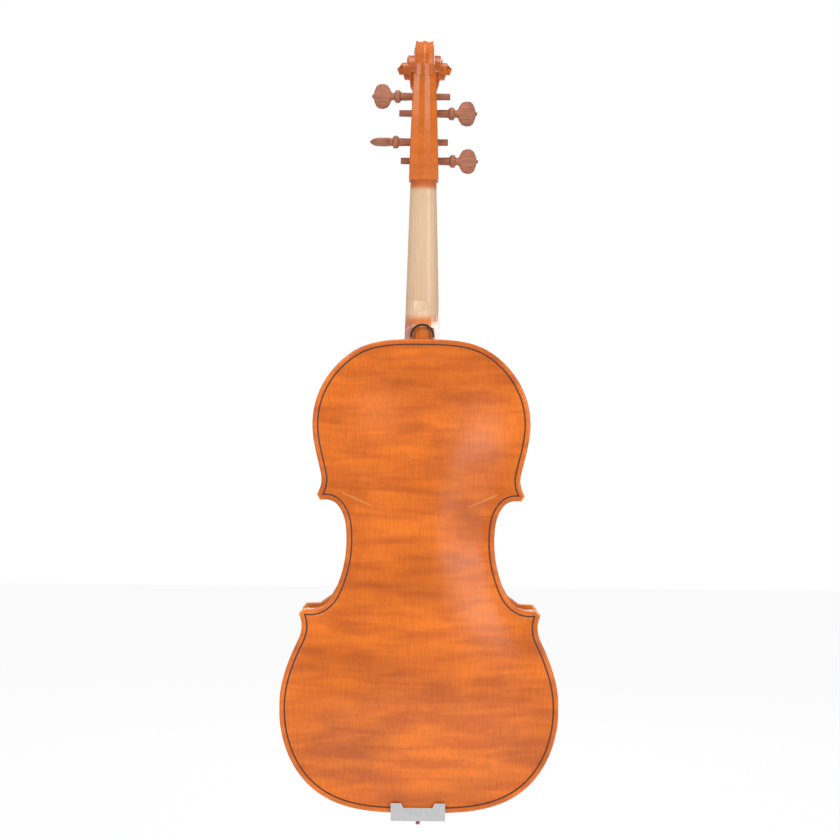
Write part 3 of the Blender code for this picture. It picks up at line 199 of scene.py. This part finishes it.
def varnished_maple(name, light, dark, flame=1.0, along="Z", worn_and_highlit_edge=False, bare_neck=False):
    """Glossy varnish over flamed maple: wavering bands, fine grain, darker patches and scratches, and
    lighter sharp edges that are partly worn varnish and partly a painted highlight.
    """
    made, shader, add = nodes_of(name)
    middle = [0.5 * (a + b) for a, b in zip(light, dark)]
    stretch = [105 if axis == along else 18 for axis in "XYZ"]
    bands = noise(add, stretch, Detail=2.5, Roughness=0.55, Distortion=0.35)
    wide = noise(add, (9, 9, 14), Detail=3.0, Roughness=0.6)
    fine = noise(add, (900, 900, 60), Detail=4.0, Roughness=0.65)
    scratch = noise(add, (260, 260, 900), (0.3, 0.1, 0.7), Detail=2.0, Roughness=0.8)
    flamed = ramp(add, bands, [(0.36, dark), (0.5, middle), (0.64, light)])
    colour = mix(add, 0.55 * flame, middle, flamed)
    shade = ramp(add, wide, [(0.3, (0.74, 0.70, 0.66)), (0.62, (1.06, 1.06, 1.06))])
    colour = mix(add, 1.0, colour, shade, "MULTIPLY")
    grain = ramp(add, fine, [(0.3, (0.86, 0.84, 0.82)), (0.6, (1.04, 1.04, 1.04))])
    colour = mix(add, 1.0, colour, grain, "MULTIPLY")
    nick = ramp(add, scratch, [(0.70, BLACK), (0.76, WHITE)])
    colour = mix(add, nick, colour, [min(1.0, c * 1.25 + 0.05) for c in light])
    # Sharp edges are painted a lighter orange: partly worn varnish, partly a painted highlight of the rim
    # catching the light.
    if worn_and_highlit_edge:
        sharp = add("ShaderNodeNewGeometry").outputs["Pointiness"]
        wear_and_highlight_mask = ramp(add, sharp, [(0.53, BLACK), (0.6, WHITE)])
        colour = mix(add, wear_and_highlight_mask, colour, (0.93, 0.52, 0.16))
    if bare_neck:
        colour = bare_of_varnish(add, colour, fine)
    link(made, colour, shader.inputs["Base Color"])
    rough = spread(add, wide, 0.24, 0.40, **{"From Min": 0.3, "From Max": 0.7})
    link(made, rough, shader.inputs["Roughness"])
    bump = add("ShaderNodeBump", {"Height": fine, "Strength": 0.05, "Distance": 0.0004})
    link(made, bump.outputs["Normal"], shader.inputs["Normal"])
    shader.inputs["Coat Weight"].default_value = 0.2
    shader.inputs["Coat Roughness"].default_value = 0.14
    return made


def plain_wood(name, light, dark, rough, grain_scale=(700, 700, 40), coat=0.0):
    """Wood with streaks along the grain and small pores."""
    made, shader, add = nodes_of(name)
    streak = noise(add, grain_scale, Detail=5.0, Roughness=0.6)
    cloud = noise(add, (60, 60, 30), Detail=3.0)
    colour = ramp(add, streak, [(0.32, dark), (0.62, light)])
    shade = ramp(add, cloud, [(0.35, (0.82, 0.80, 0.78)), (0.62, (1.05, 1.05, 1.05))])
    colour = mix(add, 1.0, colour, shade, "MULTIPLY")
    link(made, colour, shader.inputs["Base Color"])
    link(made, spread(add, cloud, rough - 0.08, rough + 0.08), shader.inputs["Roughness"])
    bump = add("ShaderNodeBump", {"Height": streak, "Strength": 0.12, "Distance": 0.0003})
    link(made, bump.outputs["Normal"], shader.inputs["Normal"])
    shader.inputs["Coat Weight"].default_value = coat
    shader.inputs["Coat Roughness"].default_value = 0.15
    return made


def metal(name, colour, rough):
    """Bright metal with slight cloudiness."""
    made, shader, add = nodes_of(name)
    cloud = noise(add, (300, 300, 300), Detail=4.0)
    tint = ramp(add, cloud, [(0.3, [c * 0.86 for c in colour]), (0.65, colour)])
    link(made, tint, shader.inputs["Base Color"])
    link(made, spread(add, cloud, rough * 0.6, rough * 1.5), shader.inputs["Roughness"])
    shader.inputs["Metallic"].default_value = 1.0
    return made


def dress(frame):
    """Every carried-over piece gets its finish."""
    # The back and the belly get lighter sharp edges: partly worn varnish, partly a painted highlight.
    back = varnished_maple("back_varnish", (0.93, 0.215, 0.006), (0.56, 0.100, 0.004), worn_and_highlit_edge=True)
    ribs = varnished_maple("rib_varnish", (0.78, 0.18, 0.008), (0.44, 0.08, 0.004))
    belly = varnished_maple(
        "belly_varnish", (0.80, 0.24, 0.014), (0.62, 0.15, 0.008), flame=0.3, along="X", worn_and_highlit_edge=True,
    )
    head = varnished_maple(
        "head_varnish", (0.88, 0.22, 0.008), (0.56, 0.11, 0.005), flame=0.5, bare_neck=True,
    )
    bare = plain_wood("bare_maple_fleck", (0.80, 0.56, 0.33), (0.66, 0.42, 0.22), 0.42, (500, 500, 90))
    inner = plain_wood("willow_plain", (0.80, 0.62, 0.40), (0.70, 0.50, 0.30), 0.75)
    black = plain_wood("ebony_polish", (0.030, 0.026, 0.023), (0.014, 0.012, 0.011), 0.32, coat=0.2)
    rose = plain_wood("rosewood_matte", (0.44, 0.16, 0.085), (0.27, 0.09, 0.05), 0.5, (90, 900, 900))
    dark = plain_wood("purfling_dark", (0.10, 0.035, 0.018), (0.06, 0.02, 0.01), 0.45)
    gut = plain_wood("tail_cord", (0.05, 0.05, 0.05), (0.03, 0.03, 0.03), 0.6)
    wire = metal("string_wire", (0.70, 0.69, 0.66), 0.28)
    chrome = metal("clamp_chrome", (0.62, 0.62, 0.63), 0.16)
    rules = (
        (("back_plate",), back),
        (("rib_",), ribs),
        (("belly_plate",), belly),
        (("neck_scroll",), head),
        (("lining_", "block_", "bass_bar", "sound_post"), inner),
        (("purfling",), dark),
        (("peg_", "end_button"), rose),
        (("string_", "winding_"), wire),
        (("tailgut",), gut),
        (("chinrest_",), chrome),
        (("bridge",), bare),
        (("",), black),
    )
    for name, node in frame["nodes"].items():
        for starts, look in rules:
            if name.startswith(starts):
                node.data.materials.clear()
                node.data.materials.append(look)
                break
    return {"back": back, "ribs": ribs, "dark": dark}


def arc(start, end, count):
    """A nearly round arc between two nodes, each an x, a z and a heading in degrees."""
    a, b = math.radians(start[2]), math.radians(end[2])
    turn = (b - a + math.pi) % (2 * math.pi) - math.pi
    reach = math.dist(start[:2], end[:2]) / (3 * math.cos(turn / 4) ** 2)
    p = np.array([
        start[:2],
        (start[0] + reach * math.cos(a), start[1] + reach * math.sin(a)),
        (end[0] - reach * math.cos(b), end[1] - reach * math.sin(b)),
        end[:2],
    ])
    t = np.linspace(0, 1, count)[:, None]
    return (1 - t) ** 3 * p[0] + 3 * (1 - t) ** 2 * t * p[1] + 3 * (1 - t) * t * t * p[2] + t ** 3 * p[3]


def through(nodes, count=16):
    """Arcs through a row of nodes, as one polyline."""
    runs = [arc(a, b, count) for a, b in zip(nodes, nodes[1:])]
    return np.vstack([runs[0]] + [run[1:] for run in runs[1:]])


def bouts():
    """The bass half of the outline: upper bout, waist and lower bout, from top to bottom."""
    corner = UPPER_CORNER_WIDTH / 2
    lower_corner = LOWER_CORNER_WIDTH / 2
    upper = [
        (0, BODY_LENGTH, 0),
        (0.65 * UPPER_WIDTH / 2, BODY_LENGTH - 12, -35),
        (UPPER_WIDTH / 2, UPPER_WIDEST_AT, -90),
        (corner - 3.5, UPPER_CORNER_AT + 17.7, -103),
        (corner, UPPER_CORNER_AT, -58),
    ]
    waist = [
        (corner - 2.8, UPPER_CORNER_AT - 5, 169),
        (WAIST_WIDTH / 2 + 8.9, UPPER_CORNER_AT - 8.1, 225),
        (WAIST_WIDTH / 2, WAIST_AT, 270),
        (WAIST_WIDTH / 2 + 10.5, LOWER_CORNER_AT + 18, 296),
        (lower_corner - 3.9, LOWER_CORNER_AT + 4.7, 377),
    ]
    lower = [
        (lower_corner, LOWER_CORNER_AT, -118),
        (lower_corner, LOWER_CORNER_AT - 21.9, -64),
        (LOWER_WIDTH / 2, LOWER_WIDEST_AT, -90),
        (0.707 * LOWER_WIDTH / 2, 16, 214),
        (0, 0, 180),
    ]
    return [through(nodes) for nodes in (upper, waist, lower)]


def inset(points, distance, before=True, after=True):
    """A curve moved to its right, with a straight run added at the ends that meet a corner."""
    ahead = np.gradient(points, axis=0)
    ahead /= np.linalg.norm(ahead, axis=1)[:, None]
    moved = points + distance * np.stack([ahead[:, 1], -ahead[:, 0]], axis=1)
    if before:
        moved = np.vstack([moved[0] - CORNER_RUN * ahead[0], moved])
    if after:
        moved = np.vstack([moved, moved[-1] + CORNER_RUN * ahead[-1]])
    return moved


def crossing(one, two):
    """How far along each of two polylines their first crossing lies, counted in points."""
    for i in range(len(one) - 1):
        a, r = one[i], one[i + 1] - one[i]
        b, s = two[:-1], two[1:] - two[:-1]
        cross = r[0] * s[:, 1] - r[1] * s[:, 0]
        cross[np.abs(cross) < 1e-12] = 1e-12
        gap = b - a
        t = (gap[:, 0] * s[:, 1] - gap[:, 1] * s[:, 0]) / cross
        u = (gap[:, 0] * r[1] - gap[:, 1] * r[0]) / cross
        hit = np.nonzero((t >= 0) & (t <= 1) & (u >= 0) & (u <= 1))[0]
        if len(hit):
            j = hit[0]
            return i + t[j], j + u[j]
    return None


def portion(points, start, end):
    """The stretch of a polyline between two places, counted in points."""
    index = np.arange(len(points))
    places = [start] + [i for i in index if start < i < end] + [end]
    return np.stack([np.interp(places, index, points[:, k]) for k in (0, 1)], axis=1)


def spaced(points, count):
    """A polyline drawn again with equal steps."""
    steps = np.linalg.norm(np.diff(points, axis=0), axis=1)
    along = np.concatenate([[0], np.cumsum(steps)])
    wanted = np.linspace(0.0, along[-1], count + 1)
    return np.stack([np.interp(wanted, along, points[:, k]) for k in (0, 1)], axis=1)


def corner_ends(first, second, tip_first, tip_second, distance):
    """Where two inset bouts end at their corner: on its blunt tip, or where they cross."""
    meet = crossing(first, second)
    tip = inset(np.array([tip_first, (tip_first + tip_second) / 2, tip_second]), distance)
    on_first, on_second = crossing(first, tip), crossing(second, tip)
    if on_first is None or on_second is None or on_first[0] > meet[0]:
        return meet
    return on_first[0], on_second[0]


def inset_bouts(distance):
    """The three curves of the bass half of the outline, moved in and cut off at the corners."""
    upper, waist, lower = bouts()
    curves = [
        inset(upper, distance, before=False),
        inset(waist, distance),
        inset(lower, distance, after=False),
    ]
    end_upper, start_waist = corner_ends(curves[0], curves[1], upper[-1], waist[0], distance)
    end_waist, start_lower = corner_ends(curves[1], curves[2], waist[-1], lower[0], distance)
    return [
        portion(curves[0], 0, end_upper),
        portion(curves[1], start_waist, end_waist),
        portion(curves[2], start_lower, len(curves[2]) - 1),
    ]


def half_ring(distance):
    """Evenly spaced points on the bass half of the outline, moved in by a distance."""
    counts = (UPPER_FACES, WAIST_FACES, LOWER_FACES)
    return np.vstack([spaced(run, n) for run, n in zip(inset_bouts(distance), counts)])


def whole(half):
    """The bass half of a ring, no wider than the solids, and its mirror image."""
    half = np.stack([np.minimum(half[:, 0], HALF_WIDTH_LIMIT), half[:, 1]], axis=1)
    return [tuple(p) for p in half] + [(-x, z) for x, z in half[-2:0:-1]]


def arch_half_width(z):
    """Half the width of the arched part of a plate, smooth past the corners."""
    zs, ws = zip(*ARCH_WIDTHS)
    near = np.array([z + step for step in ARCH_SMOOTHING])
    return float(np.mean(np.interp(near, zs, ws)))


def swell(share):
    """Height across the arch, from 0 at the channel to 1 on the ridge."""
    share = min(1.0, max(0.0, share))
    return 0.5 - 0.5 * math.cos(math.pi * share ** SWELL_POWER)


def arch_height(x, z):
    """Share of the full arch at a place on a plate."""
    across = swell(RIDGE_REACH * (1 - abs(x) / arch_half_width(z)))
    from_lower = (z - CHANNEL_INSET) / LOWER_END_RISE
    from_upper = (BODY_LENGTH - CHANNEL_INSET - z) / UPPER_END_RISE
    bow = 1 - BOW * ((z - ARCH_MIDDLE_AT) / (BODY_LENGTH / 2)) ** 2
    return across * swell(min(from_lower, from_upper)) * bow


def towards_ridge(half, share):
    """A half ring drawn in to the ridge of the arch by a share of the way."""
    x, z = half[:, 0], half[:, 1]
    ridge = ARCH_MIDDLE_AT + (z - ARCH_MIDDLE_AT) * RIDGE_SHARE
    return np.stack([x * (1 - share), z + (ridge - z) * share], axis=1)


def solid(name, rings, look, wrap=False):
    """A smooth closed skin through rings given in body millimetres."""
    count = len(rings[0])
    points = [(Vector(p) - FRAME_ORIGIN) * MM for ring in rings for p in ring]
    faces = []
    for i in range(len(rings) if wrap else len(rings) - 1):
        a, b = i * count, ((i + 1) % len(rings)) * count
        faces += [(a + j, a + (j + 1) % count, b + (j + 1) % count, b + j) for j in range(count)]
    mesh = bpy.data.meshes.new(name)
    mesh.from_pydata(points, [], faces)
    work = bmesh.new()
    work.from_mesh(mesh)
    bmesh.ops.remove_doubles(work, verts=work.verts, dist=MERGE_DISTANCE)
    if not wrap:
        bmesh.ops.holes_fill(work, edges=work.edges)
    bmesh.ops.recalc_face_normals(work, faces=work.faces)
    work.to_mesh(mesh)
    work.free()
    mesh.shade_smooth()
    mesh.set_sharp_from_angle(angle=math.radians(SMOOTH_ANGLE))
    made = bpy.data.objects.new(name, mesh)
    bpy.context.collection.objects.link(made)
    mesh.materials.append(look)
    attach(made, "root")
    return made


def fine_back(look):
    """The smooth back plate: full arch, channel, rounded edge and hollow inner side."""
    rise = BACK_ARCH - EDGE_THICKNESS + CHANNEL_DEPTH
    hollow = BACK_ARCH - BACK_CENTRE_THICKNESS
    channel, margin = half_ring(CHANNEL_INSET), half_ring(PLATE_FLAT)
    rings = []
    for share in np.linspace(1.0, 0.0, OUTER_RINGS):
        ring = whole(towards_ridge(channel, share))
        rings.append([(x, CHANNEL_DEPTH - rise * arch_height(x, z), z) for x, z in ring])
    for distance, y in EDGE_PROFILE:
        rings.append([(x, y, z) for x, z in whole(half_ring(distance))])
    for share in np.linspace(FIRST_INNER_SHARE, 1.0, INNER_RINGS):
        ring = whole(towards_ridge(margin, share))
        rings.append([(x, EDGE_THICKNESS - hollow * arch_height(x, z), z) for x, z in ring])
    return solid("back_fine", rings, look)


def fine_purfling(look):
    """The dark inlaid line, level with the back's outer side."""
    inner = PURFLING_INSET + PURFLING_WIDTH
    profile = (
        (PURFLING_INSET, PURFLING_OUTER_Y),
        (inner, PURFLING_INNER_Y),
        (inner, PURFLING_FLOOR_Y),
        (PURFLING_INSET, PURFLING_FLOOR_Y),
    )
    rings = [[(x, y, z) for x, z in whole(half_ring(distance))] for distance, y in profile]
    return solid("purfling_back_fine", rings, look, wrap=True)


def fine_ribs(look):
    """The bent sides, smooth and all round the body."""
    outer, inner = whole(half_ring(OVERHANG)), whole(half_ring(OVERHANG + RIB_THICKNESS))
    profile = ((outer, EDGE_THICKNESS), (outer, BELLY_PLANE), (inner, BELLY_PLANE), (inner, EDGE_THICKNESS))
    rings = [[(x, y, z) for x, z in ring] for ring, y in profile]
    return solid("ribs_fine", rings, look, wrap=True)


def fine_body(looks):
    """The smooth body in place of the coarse solids."""
    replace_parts(fine_back(looks["back"]), "back_plate")
    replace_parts(fine_purfling(looks["dark"]), "purfling_back")
    ribs = [f"rib_{bout}_{side}" for bout in ("upper", "waist", "lower") for side in ("bass", "treble")]
    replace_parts(fine_ribs(looks["ribs"]), *ribs)


def light(name, at, size, power):
    """A soft square lamp that points at the viola."""
    lamp = bpy.data.lights.new(name, "AREA")
    lamp.size = size
    lamp.energy = power
    made = bpy.data.objects.new(name, lamp)
    bpy.context.collection.objects.link(made)
    made.location = at
    made.rotation_euler = (Vector(LAMP_AIM) - Vector(at)).to_track_quat("-Z", "Y").to_euler()


def surround():
    """A white surround, brighter to the camera than to the object."""
    world = bpy.data.worlds.new("studio")
    bpy.context.scene.world = world
    world.use_nodes = True
    tree = world.node_tree
    background = tree.nodes["Background"]
    paths = tree.nodes.new("ShaderNodeLightPath")
    strength = tree.nodes.new("ShaderNodeMapRange")
    strength.inputs["To Min"].default_value = SURROUND_LIGHT
    strength.inputs["To Max"].default_value = SURROUND_SEEN
    tree.links.new(paths.outputs["Is Camera Ray"], strength.inputs["Value"])
    tree.links.new(strength.outputs["Result"], background.inputs["Strength"])
    background.inputs["Color"].default_value = (*WHITE, 1)


def floor_white():
    """Pale grey to the object and nearly white to the camera, with a trace of its shading."""
    made, shader, add = nodes_of("floor_white")
    cloud = noise(add, (2, 2, 2))
    pale = ramp(add, cloud, [(0.3, (0.93, 0.93, 0.93)), (0.7, (0.96, 0.96, 0.96))])
    link(made, pale, shader.inputs["Base Color"])
    shader.inputs["Roughness"].default_value = 0.9
    glow = add("ShaderNodeEmission", {"Color": (*WHITE, 1), "Strength": 1.0})
    to_camera = add("ShaderNodeLightPath").outputs["Is Camera Ray"]
    seen = add("ShaderNodeMath", {0: to_camera, 1: FLOOR_GLOW}, operation="MULTIPLY").outputs["Value"]
    both = add("ShaderNodeMixShader", {0: seen, 1: shader.outputs["BSDF"], 2: glow.outputs["Emission"]})
    link(made, both.outputs["Shader"], made.node_tree.nodes["Material Output"].inputs["Surface"])
    return made


def studio():
    """White ground: the surround, a pale floor and soft lamps."""
    surround()
    bpy.ops.mesh.primitive_plane_add(size=FLOOR_SIZE, location=FLOOR_AT)
    floor = bpy.context.active_object
    floor.name = "floor"
    floor.data.materials.append(floor_white())
    for lamp in LAMPS:
        light(*lamp)
    bpy.context.scene.view_settings.view_transform = "Standard"


def camera():
    """The photograph's view, square to the back and a little rolled."""
    data = bpy.data.cameras.new("camera")
    data.lens = CAMERA_LENS
    data.sensor_width = CAMERA_SENSOR
    made = bpy.data.objects.new("camera", data)
    bpy.context.collection.objects.link(made)
    upright = Matrix.Rotation(math.radians(90), 4, "X")
    roll = Matrix.Rotation(math.radians(CAMERA_ROLL), 4, "Z")
    made.matrix_world = Matrix.Translation((CAMERA_X, -CAMERA_DISTANCE, CAMERA_Z)) @ upright @ roll
    bpy.context.scene.camera = made


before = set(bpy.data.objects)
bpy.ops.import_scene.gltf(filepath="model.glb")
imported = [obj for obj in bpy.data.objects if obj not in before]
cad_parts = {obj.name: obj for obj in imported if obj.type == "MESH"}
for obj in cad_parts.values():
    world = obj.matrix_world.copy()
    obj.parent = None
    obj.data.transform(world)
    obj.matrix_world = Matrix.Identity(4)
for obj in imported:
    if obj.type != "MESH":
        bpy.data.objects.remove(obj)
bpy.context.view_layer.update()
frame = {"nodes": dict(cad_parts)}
looks = dress(frame)
fine_body(looks)
studio()
camera()
